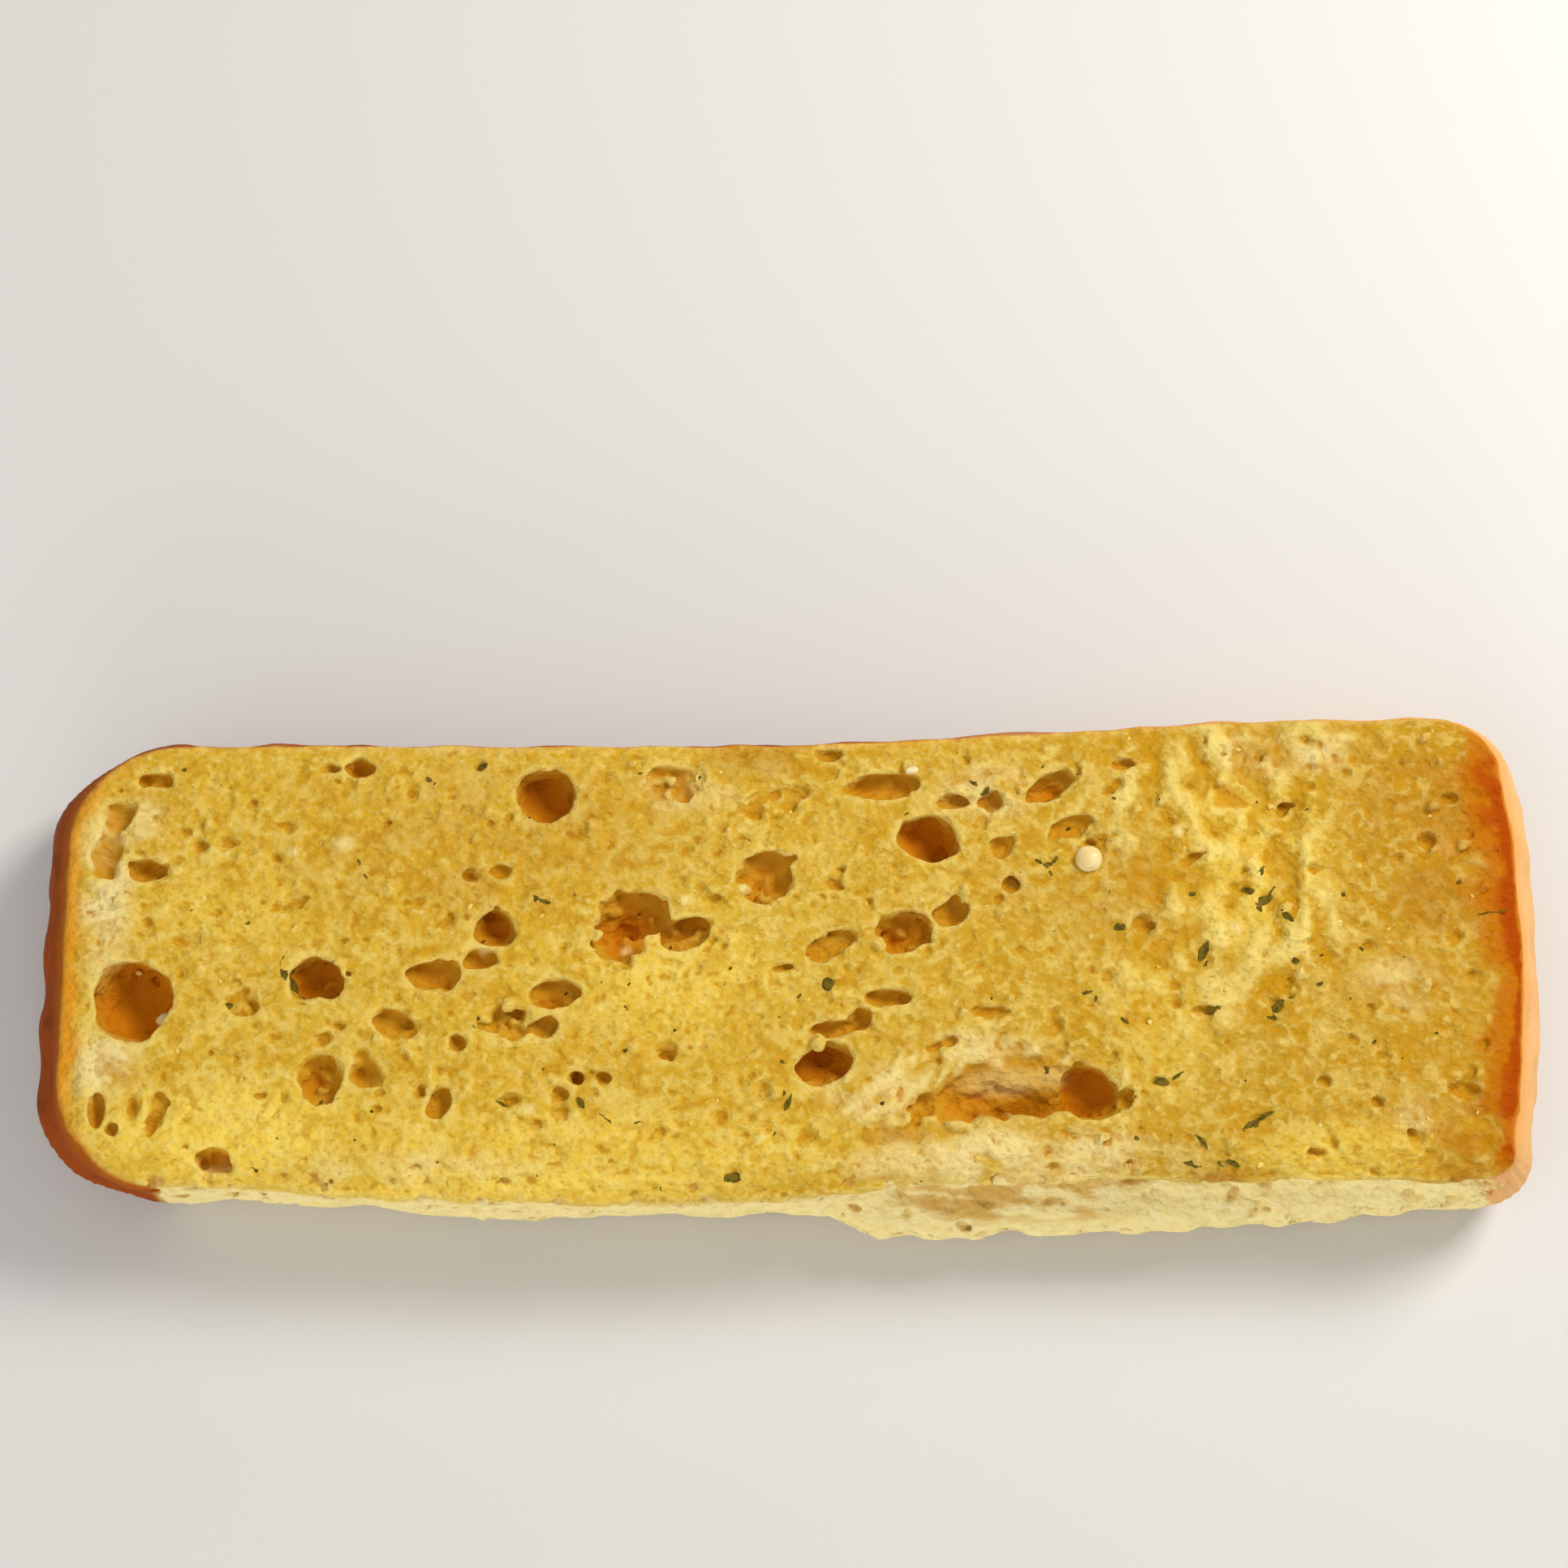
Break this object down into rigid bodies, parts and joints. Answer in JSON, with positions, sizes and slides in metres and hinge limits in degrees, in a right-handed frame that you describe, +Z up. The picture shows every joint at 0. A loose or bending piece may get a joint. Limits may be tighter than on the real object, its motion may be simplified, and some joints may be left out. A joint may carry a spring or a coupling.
{
  "type": "garlic bread",
  "caption": "Bottom half of a soft loaf split lengthwise, lying cut face up: bubbly buttered crumb with herb flakes, browned bulging ends and a torn front side.",
  "frame": {"origin": "on the surface the bread lies on, under the middle of its box", "axes": "+X along the loaf, towards the toasted end; +Z up, out of the cut face; -Y towards the torn long side"},
  "size_m": [0.2706, 0.0938, 0.031],
  "materials": {
    "bread": "buttered toasted crumb, satin"
  },
  "bodies": {
    "root": {"garlic_bread": "bread"}
  },
  "joints": []
}
